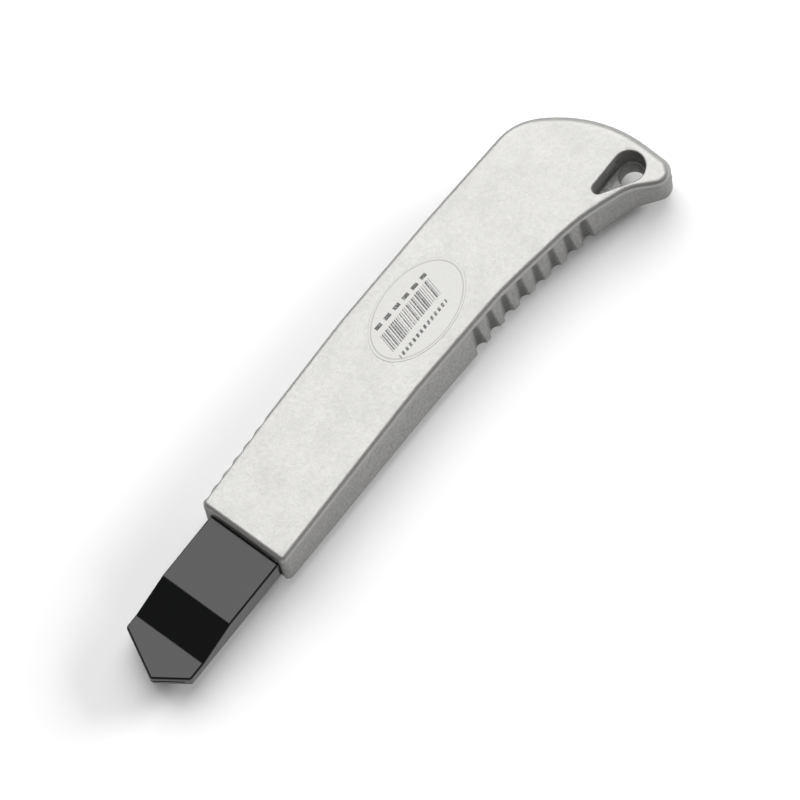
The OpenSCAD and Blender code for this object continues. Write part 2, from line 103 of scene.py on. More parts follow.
# Corners of the broad face's outline, counter-clockwise: x, y, rounding radius
FACE_CORNERS = [
    (0, -WAIST - 1, 1.6),
    (BODY_L - 83, -WAIST, 200),
    (BODY_L - 51, -WAIST - 1, 90),
    (BODY_L - 25, -WAIST - 4.6, 60),
    (BODY_L - 12, -WAIST - 9.4, 14),
    (BODY_L - 0.8, -WAIST - 20.6, 4),
    (BODY_L, FRONT_UP - 16.4, 35),
    (BODY_L - 14, FRONT_UP - 0.35, 16),
    (BODY_L - 80, FRONT_UP + 2.6, 700),
    (0, FRONT_UP, 1.6),
]
# How much farther out the belly wall stands at the back than at the face: x, distance
BELLY_FLARE = [
    (0, 0.3), (BODY_L - 83, 1.6), (BODY_L - 65, 1.6), (BODY_L - 42, 1),
    (BODY_L - 23, 1), (BODY_L - 13, 0.5), (BODY_L - 7, -0.6),
]
SPINE_FLARE = 0.4
GRIP_X = BODY_L - 62.5
GRIP_BLEND = 0.32
NOTCH_X = 2.8
NOTCH_BLEND = 0.12
HOLE_AT = Vector((BODY_L - 7.5, -WAIST - 5.85))
HOLE_R = 3.28
BOSS_R = 5
RECESS_R = 4
RECESS_END_R = 1.35
RECESS_TURN = radians(180 - 16.4)
RECESS_L = 9.35
RECESS_DEEP = 7.2
SLOT_HW = 2.25
NECK_HW = 2.05
NECK_HL = 4
SCREW_R = 1.1


def between(x, table):
    """Straight-line value at x in a table of x, value pairs."""
    if x <= table[0][0]:
        return table[0][1]
    for (x0, v0), (x1, v1) in zip(table, table[1:]):
        if x <= x1:
            return v0 + (v1 - v0) * (x - x0) / (x1 - x0)
    return table[-1][1]


def ease(x, low, high):
    """Rises smoothly from 0 at low to 1 at high."""
    t = min(max((x - low) / (high - low), 0), 1)
    return t * t * (3 - 2 * t)


def sides_of(corners, i):
    """Unit directions of the sides before and after a corner."""
    here = Vector(corners[i][:2])
    before = here - Vector(corners[i - 1][:2])
    after = Vector(corners[(i + 1) % len(corners)][:2]) - here
    return before.normalized(), after.normalized()


def rounded(corners, step=6):
    """Points and outward normals of a counter-clockwise outline with its corners rounded."""
    outline = []
    for i, (x, y, radius) in enumerate(corners):
        before, after = sides_of(corners, i)
        turn = atan2(before.x * after.y - before.y * after.x, before.dot(after))
        way = 1 if turn > 0 else -1
        start = Vector((x, y)) - before * radius * tan(abs(turn) / 2)
        normal = Vector((before.y, -before.x))
        centre = start - normal * radius * way
        count = max(2, ceil(abs(turn) / radians(step)))
        first = atan2(normal.y, normal.x)
        for k in range(count + 1):
            angle = first + turn * k / count
            normal = Vector((cos(angle), sin(angle)))
            outline.append((centre + normal * radius * way, normal))
    return outline


def inset(corners, distance):
    """The same outline with every side moved inwards."""
    moved = []
    for i, (x, y, radius) in enumerate(corners):
        before, after = sides_of(corners, i)
        n0 = Vector((before.y, -before.x))
        n1 = Vector((after.y, -after.x))
        p = Vector((x, y)) - (n0 + n1) * distance / (1 + n0.dot(n1))
        turn = before.x * after.y - before.y * after.x
        moved.append((p.x, p.y, max(radius - (distance if turn > 0 else -distance), 0.3)))
    return moved


def walked(outline, spacing, fine_span=(0, 0), fine=1.0):
    """The outline with more points on its long stretches, and most of all on the belly in one span of x."""
    points = []
    for (p0, n0), (p1, n1) in zip(outline, outline[1:] + outline[:1]):
        if (p1 - p0).length < 1e-4:
            continue
        busy = n0.y < -0.3 and p1.x > fine_span[0] and p0.x < fine_span[1]
        count = max(1, ceil((p1 - p0).length / (fine if busy else spacing)))
        for k in range(count):
            points.append((p0.lerp(p1, k / count), n0.lerp(n1, k / count).normalized()))
    return points


def circle(centre, radius, count):
    """Points and outward normals of a circle."""
    normals = [Vector((cos(2 * pi * k / count), sin(2 * pi * k / count))) for k in range(count)]
    return [(Vector(centre) + n * radius, n) for n in normals]


def box_outline(x0, x1, y0, y1, radius, step=15):
    """Points and outward normals of a rectangle with rounded corners."""
    return rounded([(x0, y0, radius), (x1, y0, radius), (x1, y1, radius), (x0, y1, radius)], step)


def tear_drop(count=16):
    """Outline of the lanyard recess: a large and a small arc with straight sides between them."""
    lean = acos((RECESS_R - RECESS_END_R) / RECESS_L)
    small_at = HOLE_AT + Vector((cos(RECESS_TURN), sin(RECESS_TURN))) * RECESS_L
    outline = []
    for centre, radius, first, last, parts in (
        (HOLE_AT, RECESS_R, RECESS_TURN + lean, RECESS_TURN - lean + 2 * pi, 3 * count),
        (small_at, RECESS_END_R, RECESS_TURN - lean, RECESS_TURN + lean, count),
    ):
        for k in range(parts + 1):
            angle = first + (last - first) * k / parts
            normal = Vector((cos(angle), sin(angle)))
            outline.append((centre + normal * radius, normal))
    return outline


def raised(outline, grow, z):
    """An outline moved outwards along its normals and set at a height, as points in metres."""
    return [spot(*(p + n * grow), z) for p, n in outline]


def quarter(count):
    """Angles of the steps of a quarter turn, from 0."""
    return [pi / 2 * k / count for k in range(count + 1)]


# ---------------------------------------------------------------- mesh work

def ring(bm, points):
    """A closed loop of edges through points."""
    verts = [bm.verts.new(p) for p in points]
    for a, b in zip(verts, verts[1:] + verts[:1]):
        bm.edges.new((a, b))
    return verts


def ring_edges(bm, verts):
    """The edges of a closed loop."""
    return [bm.edges.get((a, b)) for a, b in zip(verts, verts[1:] + verts[:1])]


def carry(bm, verts, points):
    """Extrudes a loop to new places and returns the new loop."""
    made = bmesh.ops.extrude_edge_only(bm, edges=ring_edges(bm, verts))["geom"]
    fresh = {g for g in made if isinstance(g, bmesh.types.BMVert)}
    moved = []
    for vert, point in zip(verts, points):
        other = next(e.other_vert(vert) for e in vert.link_edges if e.other_vert(vert) in fresh)
        other.co = point
        moved.append(other)
    return moved


def loft(bm, loops):
    """Carries a loop through a series of places. Returns the first and the last loop."""
    first = ring(bm, loops[0])
    last = first
    for points in loops[1:]:
        last = carry(bm, last, points)
    return first, last


def cap(bm, *loops):
    """Fills the flat area inside the first loop and outside the others."""
    edges = [e for verts in loops for e in ring_edges(bm, verts)]
    bmesh.ops.triangle_fill(bm, use_beauty=True, use_dissolve=False, edges=edges)


def filled(bm, loops):
    """A closed solid lofted through a series of places, with flat ends."""
    first, last = loft(bm, loops)
    cap(bm, first)
    cap(bm, last)


def rounding(radius, count):
    """Steps of a quarter round, as pairs: distance from the side, distance below the flat."""
    return [(radius * (1 - sin(a)), radius * (1 - cos(a))) for a in quarter(count)]


def extruded(bm, points, run):
    """A closed solid: a flat outline and its copy a given run away."""
    first = bm.faces.new([bm.verts.new(p) for p in points])
    made = bmesh.ops.extrude_face_region(bm, geom=[first])["geom"]
    bmesh.ops.translate(bm, vec=run, verts=[g for g in made if isinstance(g, bmesh.types.BMVert)])


def prism(bm, points, z0, z1):
    """A closed prism over a plan outline."""
    extruded(bm, [spot(x, y, z0) for x, y in points], Vector((0, 0, (z1 - z0) * MM)))


def side_prism(bm, points, y0, y1):
    """A closed prism across the knife over a side outline of x, z points."""
    extruded(bm, [spot(x, y0, z) for x, z in points], Vector((0, (y1 - y0) * MM, 0)))


def block(bm, x0, x1, y0, y1, z0, z1):
    """A plain box, used as a cutter."""
    prism(bm, [(x0, y0), (x1, y0), (x1, y1), (x0, y1)], z0, z1)


def cone(bm, at, r0, r1, z0, z1, segments=32):
    """A cone or cylinder between two heights."""
    place = Matrix.Translation(spot(at[0], at[1], (z0 + z1) / 2))
    bmesh.ops.create_cone(bm, cap_ends=True, segments=segments, radius1=r0 * MM, radius2=r1 * MM,
                          depth=(z1 - z0) * MM, matrix=place)


def bevelled(bm, chosen, radius, segments=3):
    """Rounds the chosen edges."""
    edges = [e for e in bm.edges if chosen(e)]
    bmesh.ops.bevel(bm, geom=edges, offset=radius * MM, offset_type="OFFSET", segments=segments,
                    profile=0.5, affect="EDGES", clamp_overlap=True, material=-1)


def is_crease(edge, degrees=20):
    """Whether two faces meet at an edge at more than an angle."""
    return edge.is_manifold and edge.calc_face_angle(0) > radians(degrees)


def closed(bm):
    """Merges doubles and turns every face outwards."""
    bmesh.ops.remove_doubles(bm, verts=bm.verts, dist=1e-7)
    bmesh.ops.dissolve_degenerate(bm, dist=1e-7, edges=bm.edges)
    bmesh.ops.recalc_face_normals(bm, faces=bm.faces)
    return bm


def object_of(bm, name):
    """Turns a bmesh into an object at the origin."""
    mesh = bpy.data.meshes.new(name)
    closed(bm).to_mesh(mesh)
    bm.free()
    made = bpy.data.objects.new(name, mesh)
    bpy.context.collection.objects.link(made)
    return made


def less(bm, *cutters):
    """A bmesh with other bmeshes cut out of it."""
    body = object_of(bm, "work")
    for cutter in cutters:
        tool = object_of(cutter, "cutter")
        cut = body.modifiers.new("cut", "BOOLEAN")
        cut.operation = "DIFFERENCE"
        cut.solver = "EXACT"
        cut.object = tool
    seen = body.evaluated_get(bpy.context.evaluated_depsgraph_get())
    result = bmesh.new()
    result.from_mesh(seen.to_mesh())
    seen.to_mesh_clear()
    for made in [body] + [m.object for m in body.modifiers]:
        bpy.data.objects.remove(made, do_unlink=True)
    bmesh.ops.dissolve_degenerate(result, dist=1e-7, edges=result.edges)
    return result


def piece(bm, name, body, finish, replaced, sharp=32):
    """Turns a bmesh into a piece of the knife: shading, finish, body and the CAD node it stands for."""
    made = object_of(bm, name)
    shape = bmesh.new()
    shape.from_mesh(made.data)
    for face in shape.faces:
        face.smooth = True
    for edge in shape.edges:
        edge.smooth = edge.is_manifold and edge.calc_face_angle(0) < radians(sharp)
    shape.to_mesh(made.data)
    shape.free()
    made.data.materials.append(finish)
    level = made.modifiers.new("even shading", "WEIGHTED_NORMAL")
    level.keep_sharp = True
    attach(made, body)
    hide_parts(replaced)
    return made


# ---------------------------------------------------------------- finishes

class Value:
    """A number that changes over a surface. Arithmetic on it adds Math nodes."""

    def __init__(self, finish, socket):
        self.finish = finish
        self.socket = socket

    def maths(self, operation, *parts):
        """Adds one Math node over the parts."""
        return self.finish.node("ShaderNodeMath", {"operation": operation}, dict(enumerate(parts)))

    def __add__(self, other):
        return self.maths("ADD", self, other)

    def __sub__(self, other):
        return self.maths("SUBTRACT", self, other)

    def __rsub__(self, other):
        return self.maths("SUBTRACT", other, self)

    def __mul__(self, other):
        return self.maths("MULTIPLY", self, other)

    def __truediv__(self, other):
        return self.maths("DIVIDE", self, other)

    def __pow__(self, other):
        return self.maths("POWER", self, other)

    def __lt__(self, other):
        return self.maths("LESS_THAN", self, other)

    def __gt__(self, other):
        return self.maths("GREATER_THAN", self, other)

    def __abs__(self):
        return self.maths("ABSOLUTE", self)

    def floor(self):
        return self.maths("FLOOR", self)

    def fract(self):
        return self.maths("FRACT", self)

    __radd__ = __add__
    __rmul__ = __mul__


class Finish:
    """One material: a Principled shader with the few kinds of node that the finishes need."""

    def __init__(self, name, **constants):
        self.material = bpy.data.materials.new(name)
        self.material.use_nodes = True
        self.tree = self.material.node_tree
        self.tree.nodes.clear()
        self.shader = self.tree.nodes.new("ShaderNodeBsdfPrincipled")
        out = self.tree.nodes.new("ShaderNodeOutputMaterial")
        self.tree.links.new(self.shader.outputs[0], out.inputs["Surface"])
        for key, value in constants.items():
            self.set(key.replace("_", " ").title().replace("Ior", "IOR"), value)
        self.place = self.node("ShaderNodeTexCoord", {}, {}, "Object")

    def node(self, kind, settings, sockets, output=0):
        """Makes a node: its type, its settings, then the values or links of its sockets."""
        made = self.tree.nodes.new(kind)
        for key, value in settings.items():
            setattr(made, key, value)
        for key, value in sockets.items():
            self.feed(made.inputs[key], value)
        return Value(self, made.outputs[output])

    def feed(self, socket, value):
        """Links a value to a socket, or sets a number or colour on it."""
        if isinstance(value, Value):
            self.tree.links.new(value.socket, socket)
        elif value is not None:
            socket.default_value = value

    def set(self, socket, value):
        """Feeds a socket of the shader."""
        if isinstance(value, tuple) and len(value) == 3:
            value = (*value, 1)
        self.feed(self.shader.inputs[socket], value)

    def axis(self, index):
        """One Object coordinate, in metres."""
        return self.node("ShaderNodeSeparateXYZ", {}, {0: self.place}, index)

    def along(self):
        """How far back a point of the surface lies in the knife's plan, in millimetres."""
        return (self.axis("X") - FRONT_X) * (1 / MM)

    def across(self):
        """How far a point lies from the blade's middle line, in millimetres."""
        return (self.axis("Y") - MIDDLE_Y) * (1 / MM)

    def stretched(self, x, y, z):
        """Object coordinates with each axis scaled."""
        sockets = {"Vector": self.place, "Scale": (x, y, z)}
        return self.node("ShaderNodeMapping", {"vector_type": "POINT"}, sockets)

    def noise(self, scale, detail=2, roughness=0.5, place=None):
        """Soft noise around 0.5, with a scale in features per metre."""
        sockets = {"Vector": place or self.place, "Scale": scale, "Detail": detail, "Roughness": roughness}
        return self.node("ShaderNodeTexNoise", {}, sockets)

    def grains(self, scale, place=None):
        """Distance to the nearest of many scattered points."""
        return self.node("ShaderNodeTexVoronoi", {}, {"Vector": place or self.place, "Scale": scale})

    def span(self, value, low, high, to_low=0.0, to_high=1.0):
        """Maps a range of values to another, held at both ends."""
        sockets = {0: value, 1: low, 2: high, 3: to_low, 4: to_high}
        return self.node("ShaderNodeMapRange", {"clamp": True, "interpolation_type": "SMOOTHSTEP"}, sockets)

    def mixed(self, mask, first, second):
        """A colour between two, by a mask."""
        first, second = [(*c, 1) if isinstance(c, tuple) else c for c in (first, second)]
        return self.node("ShaderNodeMix", {"data_type": "RGBA"}, {0: mask, 6: first, 7: second}, 2)

    def bump(self, height, distance, strength=1.0):
        """Sets a height pattern as the shader's normal, its full depth in metres."""
        sockets = {"Height": height, "Distance": distance, "Strength": strength}
        self.set("Normal", self.node("ShaderNodeBump", {}, sockets))


def tint(colour, factor):
    """A colour made lighter or darker."""
    return tuple(min(c * factor, 1) for c in colour)


def grip_painted_shade(finish):
    """Share of painted shade in the grips: most in the middle of each finger scallop, on its lower side."""
    pitch = shape().scallop_pitch / MM
    from_first = finish.along() - GRIP_X
    turns = from_first * (1 / pitch) + 0.5
    behind_middle = 0.12
    aside = abs((turns.fract() - (0.5 + behind_middle)) * pitch)
    pocket = finish.span(aside, 0.3, 1.5, 1.0, 0.0)
    row = (from_first > -pitch / 2) * (from_first < (shape().scallops - 0.5) * pitch)
    return pocket * row * (finish.across() < -WAIST)


def cast_metal(name, colour, roughness):
    """Tumbled die casting: smooth mottled flats, sandy sides, small pits, and painted shade in the grips
    that also makes them a little duller.
    """
    finish = Finish(name, metallic=0.7, specular_tint=(0.25, 0.25, 0.25))
    clouds = finish.noise(150, 4, 0.6)
    mottle = finish.noise(900, 5, 0.68)
    fine = finish.noise(3800, 3, 0.6)
    scratches = finish.noise(1100, 3, 0.55, finish.stretched(1, 7, 7))
    pits = finish.span(finish.grains(900), 0.0, 0.16)
    shade = clouds * 0.2 + mottle * 0.45 + scratches * 0.35
    patch = finish.span(shade, 0.36, 0.64)
    worn = finish.mixed(patch, tint(colour, 0.94), tint(colour, 1.05))
    side = finish.span(finish.axis("Z"), (FACE_Z - 2.4) * MM, (FACE_Z - 1.2) * MM, 1.0, 0.0)
    sand = finish.span(finish.noise(1500, 4, 0.7), 0.38, 0.62)
    as_cast = finish.mixed(sand, tint(colour, 0.74), tint(colour, 1.12))
    # Painted shade in the finger scallops, below the face's edge: it darkens the colour towards near black
    # and makes the surface a little rougher.
    painted_shade = grip_painted_shade(finish) * side
    surface = finish.mixed(painted_shade * 0.6, finish.mixed(side * 0.8, worn, as_cast), tint(colour, 0.2))
    finish.set("Base Color", finish.mixed(pits, tint(colour, 0.86), surface))
    rough = roughness + 0.16 * (mottle - 0.5) + 0.1 * (0.5 - patch)
    finish.set("Roughness", rough + 0.06 * side + 0.1 * painted_shade)
    height = clouds * 0.3 + mottle * 0.3 + fine * 0.14 + pits * 0.1 + sand * side * 0.16
    finish.bump(height, 0.00022)
    return finish.material


def gloss_black(name, colour):
    """Polished black nose: a clear deep gloss with faint wipe marks and a trace of waviness."""
    finish = Finish(name, specular_ior_level=0.5)
    wipe = finish.noise(240, 3, 0.55, finish.stretched(1, 3, 3))
    waves = finish.noise(60, 2, 0.4)
    dust = finish.span(finish.grains(2600), 0.02, 0.07)
    finish.set("Base Color", finish.mixed(dust, tint(colour, 1.8), colour))
    finish.set("Roughness", 0.09 + 0.08 * finish.span(wipe, 0.45, 0.7) + 0.05 * (1 - dust))
    finish.bump(waves * 0.6 + wipe * 0.05, 0.00012)
    return finish.material


def moulded(name, colour, roughness, grain):
    """Moulded plastic or rubber with a fine spark-eroded grain."""
    finish = Finish(name)
    broad = finish.noise(180, 3, 0.5)
    texture = finish.noise(grain, 3, 0.6)
    rub = finish.span(finish.noise(420, 4, 0.6), 0.5, 0.75)
    finish.set("Base Color", finish.mixed(rub, colour, tint(colour, 1.7)))
    finish.set("Roughness", roughness + 0.12 * (broad - 0.5) - 0.1 * rub)
    finish.bump(texture, 0.00008)
    return finish.material


def steel(name, colour, roughness, lines=(1, 30, 30), scale=900):
    """Ground, rolled or plated steel: fine parallel lines, with stains and light spots."""
    finish = Finish(name, metallic=1.0)
    grind = finish.noise(scale, 4, 0.65, finish.stretched(*lines))
    stain = finish.noise(150, 4, 0.6)
    spots = finish.span(finish.grains(700), 0.03, 0.12)
    streaks = finish.mixed(grind, tint(colour, 0.84), tint(colour, 1.12))
    finish.set("Base Color", finish.mixed(spots, tint(colour, 0.8), streaks))
    finish.set("Roughness", roughness + 0.18 * (grind - 0.5) + 0.14 * (stain - 0.5))
    finish.bump(grind, 0.00003)
    return finish.material


def blade_steel(name, colour):
    """Blade: lengthwise rolling lines on the flat, and a bright cross-ground edge."""
    finish = Finish(name, metallic=1.0)
    across = finish.axis("Y") - (MIDDLE_Y - half_blade_width() + 1.6 * MM)
    edge = across < 0
    rolled = finish.noise(700, 4, 0.6, finish.stretched(1, 26, 1))
    ground = finish.noise(2400, 3, 0.6, finish.stretched(1, 0.06, 1))
    stain = finish.noise(120, 4, 0.6)
    flat = finish.mixed(rolled, tint(colour, 0.82), tint(colour, 1.08))
    keen = finish.mixed(ground, tint(colour, 1.1), tint(colour, 1.4))
    finish.set("Base Color", finish.mixed(edge, flat, keen))
    finish.set("Roughness", 0.3 + 0.14 * (rolled - 0.5) + 0.12 * (stain - 0.5) - 0.06 * edge)
    finish.bump(rolled * (1 - edge) + ground * edge, 0.00003)
    return finish.material


def half_blade_width():
    """Half the blade's width, in metres."""
    low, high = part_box("blade")
    return (high.y - low.y) / 2


def printed_film(name, colour, ink):
    """Clear oval film over the metal: plain bars, a row of dashes, a row of ticks and a thin ring."""
    finish = Finish(name, coat_weight=0.12, coat_roughness=0.2, specular_tint=(0.25, 0.25, 0.25))
    along = finish.along()
    across = finish.across()
    slanted = along - 0.25 * across
    place = slanted * 1.5
    chance = finish.node("ShaderNodeTexWhiteNoise", {"noise_dimensions": "1D"}, {"W": place.floor()})
    bars = (place.fract() < 0.2 + 0.65 * chance) * (abs(slanted - 67.5) < 9.3)
    bars = bars * (abs(across - 2) < 2.5)
    dashes = ((along * 0.3).fract() < 0.62) * (abs(across + 0.047 * along - 9.3) < 0.5)
    ticks = ((slanted * 0.72).fract() < 0.5) * (abs(across + 2.7) < 0.5)
    rows = dashes * (abs(along - 68.8) < 9.7) + ticks * (abs(slanted - 67.8) < 9)
    wear = finish.span(finish.noise(2600, 3, 0.6), 0.34, 0.5)
    inked = (bars * 0.9 + rows) * (0.35 + 0.5 * wear)
    low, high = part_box("label")
    middle_x, middle_y, _ = plan_of((low + high) / 2)
    half_x = (high.x - low.x) / MM / 2
    half_y = (high.y - low.y) / MM / 2
    outwards = ((along - middle_x) / half_x) ** 2 + ((across - middle_y) / half_y) ** 2
    ring_line = (abs(outwards - 0.89) < 0.025) * 0.3
    mottle = finish.noise(800, 5, 0.65)
    clear = finish.mixed(mottle, tint(colour, 0.95), tint(colour, 1.05))
    finish.set("Base Color", finish.mixed(inked + ring_line, clear, ink))
    finish.set("Roughness", 0.36 + 0.12 * (mottle - 0.5))
    finish.set("Metallic", 0.7 - 0.7 * inked)
    finish.bump(mottle, 0.00006)
    return finish.material


def pale_floor(name, colour):
    """Matt studio floor with a barely visible mottle."""
    finish = Finish(name, roughness=0.7, specular_ior_level=0.2)
    grain = finish.noise(40, 3, 0.5)
    finish.set("Base Color", finish.mixed(grain, tint(colour, 0.995), tint(colour, 1.005)))
    return finish.material


def paint_nodes(finish, *nodes):
    """Gives CAD nodes a finish."""
    for name in nodes:
        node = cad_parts[name]
        node.data.materials.clear()
        node.data.materials.append(finish)


# ---------------------------------------------------------------- settings

def colour_of(name, description, default):
    """A colour setting."""
    return FloatVectorProperty(name=name, description=description, subtype="COLOR", size=3,
                               min=0, max=1, default=default)


def length_of(name, description, default):
    """A length setting, in metres."""
    return FloatProperty(name=name, description=description, default=default, min=0,
                         unit="LENGTH", subtype="DISTANCE")


class KnifeShape(bpy.types.PropertyGroup):
    """Rounding and grip sizes of the visible pieces."""

    face_round: length_of("Face rounding", "Edge radius around the broad face", 0.0014)
    tail_round: length_of("Tail rounding", "Extra edge radius around the tail", 0.001)
    back_round: length_of("Back rounding", "Edge radius around the back", 0.001)
    scallop_radius: length_of("Scallop radius", "Radius of a finger scallop", 0.00175)
    scallop_pitch: length_of("Scallop pitch", "Distance between two finger scallops", 0.00529)
    notch_radius: length_of("Notch radius", "Radius of a thumb notch", 0.0028)
    notch_pitch: length_of("Notch pitch", "Distance between two thumb notches", 0.00442)
    notch_depth: length_of("Notch depth", "Depth of a thumb notch", 0.00055)
    nose_round: length_of("Nose rounding", "Edge radius of the nose", 0.0006)
    scallops: IntProperty(name="Scallops", description="Number of finger scallops", default=8, min=1, max=9)
    notches: IntProperty(name="Notches", description="Number of thumb notches", default=6, min=1, max=8)


class KnifeColours(bpy.types.PropertyGroup):
    """Colours of the finishes."""

    casting: colour_of("Casting", "Tumbled metal of the body", (0.405, 0.402, 0.39))
    cover: colour_of("Cover", "Metal of the back cover", (0.4, 0.4, 0.39))
    nose: colour_of("Nose", "Polished black of the nose", (0.0035, 0.0038, 0.0042))
    blade: colour_of("Blade", "Steel of the blades", (0.55, 0.56, 0.57))
    spring: colour_of("Spring", "Tempered steel strips", (0.36, 0.37, 0.39))
    rivet: colour_of("Rivet", "Plated rivets and plates", (0.5, 0.5, 0.49))
    screw: colour_of("Screw", "Dark plated screws", (0.3, 0.3, 0.31))
    carriage: colour_of("Carriage", "Moulded slide", (0.035, 0.035, 0.038))
    button: colour_of("Button", "Moulded thumb button", (0.014, 0.014, 0.016))
    grip: colour_of("Grip", "Ribbed rubber pad", (0.035, 0.035, 0.037))
    film: colour_of("Film", "Oval film", (0.37, 0.367, 0.357))
    ink: colour_of("Ink", "Printed bars", (0.05, 0.05, 0.05))
    floor: colour_of("Floor", "Studio floor", (0.9, 0.9, 0.9))


class KnifeStudio(bpy.types.PropertyGroup):
    """Camera and lights."""

    frame_width: length_of("Frame width", "Width of the view at the knife", 0.1934)
    camera_away: length_of("Camera distance", "Distance of the camera", 5.0)
    light_height: length_of("Light height", "Height of the soft light", 2.5)
    light_power: FloatProperty(name="Light power", description="Power of the soft light in watts",
                               default=215, min=0)
    fill_power: FloatProperty(name="Fill power", description="Power of the light on the belly side in watts",
                              default=120, min=0)
    sky: FloatProperty(name="Sky", description="Strength of the dim surroundings", default=0.12, min=0)


def shape():
    return bpy.context.scene.knife_shape


def colours():
    return bpy.context.scene.knife_colours


# ---------------------------------------------------------------- pieces

def belly_line(x):
    """The belly side of the face's outline before its corners are rounded."""
    return between(x, [corner[:2] for corner in FACE_CORNERS[:6]])


def spine_line(x):
    """The spine side of the face's outline before its corners are rounded."""
    return between(x, [corner[:2] for corner in FACE_CORNERS[:5:-1]])


def soft_max(a, b, blend):
    """The larger of two values, rounded over where they meet."""
    h = max(blend - abs(a - b), 0) / blend
    return max(a, b) + h * h * blend / 4


def scalloped(point, depth_share, sizes):
    """Moves a point of the belly wall in where a finger scallop takes the wall away."""
    radius = sizes.scallop_radius / MM
    pitch = sizes.scallop_pitch / MM
    for k in range(sizes.scallops):
        middle = GRIP_X + k * pitch
        aside = abs(point.x - middle)
        if aside < pitch / 2 and point.y < 0:
            run_out = 2.5 * max(aside - radius, 0)
            arch = sqrt(max(radius * radius - aside * aside, 0)) - run_out
            level = soft_max(point.y, belly_line(middle) - radius + 0.1 + arch, GRIP_BLEND)
            return Vector((point.x, point.y + (level - point.y) * depth_share))
    return point


def notched(point, sizes):
    """Moves a point of the spine edge in where a thumb notch takes it away."""
    radius = sizes.notch_radius / MM
    for k in range(sizes.notches):
        middle = NOTCH_X + k * sizes.notch_pitch / MM
        aside = abs(point.x - middle)
        if aside < radius * 0.8 and point.y > 0:
            low = spine_line(middle) + radius - sizes.notch_depth / MM
            cut = low - sqrt(radius * radius - aside * aside)
            return Vector((point.x, -soft_max(-point.y, -cut, NOTCH_BLEND)))
    return point


def flare_at(point, normal):
    """How much farther out the side stands at the back than at the face."""
    if normal.y < -0.3:
        return between(point.x, BELLY_FLARE)
    return SPINE_FLARE * max(0, normal.y)


def casing_levels():
    """Levels of the casing's side from the face to the back: angles of each rounding, share of the wall."""
    face = [("face", angle) for angle in quarter(7)]
    wall = [("wall", k / 16) for k in range(1, 17)]
    back = [("back", angle) for angle in quarter(5)[1:]]
    return face + wall + back


def casing_point(p, n, part, amount, sizes):
    """Place of one point of the casing's side."""
    tail = ease(p.x, BODY_L - 24, BODY_L - 6) * ease(n.x, 0.1, 0.8)
    face_round = (sizes.face_round + sizes.tail_round * tail) / MM
    back_round = sizes.back_round / MM
    top = FACE_Z - face_round
    low = BACK_Z + back_round
    if part == "face":
        place = p - n * face_round * (1 - sin(amount))
        z = top + face_round * cos(amount)
        share = 0
    elif part == "wall":
        place = p + n * flare_at(p, n) * amount
        z = top + (low - top) * amount
        share = ease(amount, 0, 0.12)
    else:
        place = p + n * (flare_at(p, n) - back_round * (1 - cos(amount)))
        z = low - back_round * sin(amount)
        share = 1
    place = notched(scalloped(place, share, sizes), sizes)
    return spot(place.x, place.y, z)


def casing_shape():
    """Closed outside of the body with the lanyard recess and its hole."""
    sizes = shape()
    bm = bmesh.new()
    grip_x0 = GRIP_X - sizes.scallop_pitch / MM
    grip_x1 = grip_x0 + (sizes.scallops + 1) * sizes.scallop_pitch / MM
    line = walked(rounded(FACE_CORNERS, 4), 0.36, (grip_x0, grip_x1), 0.17)
    face_loop, back_loop = loft(bm, [
        [casing_point(p, n, part, amount, sizes) for p, n in line] for part, amount in casing_levels()
    ])

    rim = 0.45
    draft = 0.1
    fillet = 0.5
    floor_z = FACE_Z - RECESS_DEEP
    drop = tear_drop()
    recess = [raised(drop, out, FACE_Z - down) for out, down in rounding(rim, 4)]
    recess += [raised(drop, -draft - fillet * (1 - cos(a)), floor_z + fillet * (1 - sin(a)))
               for a in quarter(3)]
    recess_rim, recess_floor = loft(bm, recess)
    cap(bm, face_loop, recess_rim)

    hole = circle(HOLE_AT, HOLE_R, 56)
    bore = [raised(hole, 0.12, floor_z), raised(hole, 0.0, floor_z - 0.15)]
    hole_top, hole_low = loft(bm, bore + [raised(hole, 0.0, BACK_Z + 0.3), raised(hole, 0.3, BACK_Z)])
    cap(bm, recess_floor, hole_top)

    cap(bm, back_loop, hole_low)
    return bm


def behind_front_wall(outline_inset, front):
    """The body's outline moved inwards, with its front side at a given x."""
    corners = inset(FACE_CORNERS, outline_inset)
    corners[0] = (front, *corners[0][1:])
    corners[-1] = (front, *corners[-1][1:])
    return walked(rounded(corners), 6)


def cover_bay():
    """Cutter for the cover's seat. It leaves the boss around the lanyard hole."""
    bay = bmesh.new()
    line = behind_front_wall(WALL, FRONT_WALL)
    filled(bay, [raised(line, 0.24, BACK_Z - 0.12), raised(line, 0, BACK_Z + 0.12),
                 raised(line, 0, COVER_Z)])
    boss = bmesh.new()
    line = circle(HOLE_AT, BOSS_R, 56)
    filled(boss, [raised(line, -0.4, BACK_Z - 0.2), raised(line, 0, BACK_Z + 0.2),
                  raised(line, 0, COVER_Z + 1)])
    return less(bay, boss)


def guide_bay():
    """Cutter for the room of the blade guide."""
    bm = bmesh.new()
    line = box_outline(FRONT_WALL + 0.4, GUIDE_X1 + 1, -GUIDE_HW - FIT, GUIDE_HW + FIT, 1)
    filled(bm, [raised(line, 0, COVER_Z - 0.5), raised(line, 0, FILL_Z)])
    return bm


def cover_screw_places():
    """Plan places of the cover's screws."""
    y = GUIDE_HW + 2.35
    return [(BODY_L - 104, y), (BODY_L - 53, y), (BODY_L - 29, y), (BODY_L - 29, -y)]


def screw_seats():
    """Cutter for the cover's screws: a conical seat and a bore at each place."""
    bm = bmesh.new()
    for at in cover_screw_places():
        line = circle(at, SCREW_R, 36)
        filled(bm, [raised(line, 1.06, BACK_Z - 0.04), raised(line, 0, BACK_Z + 1),
                    raised(line, 0, FILL_Z - 1)])
    return bm


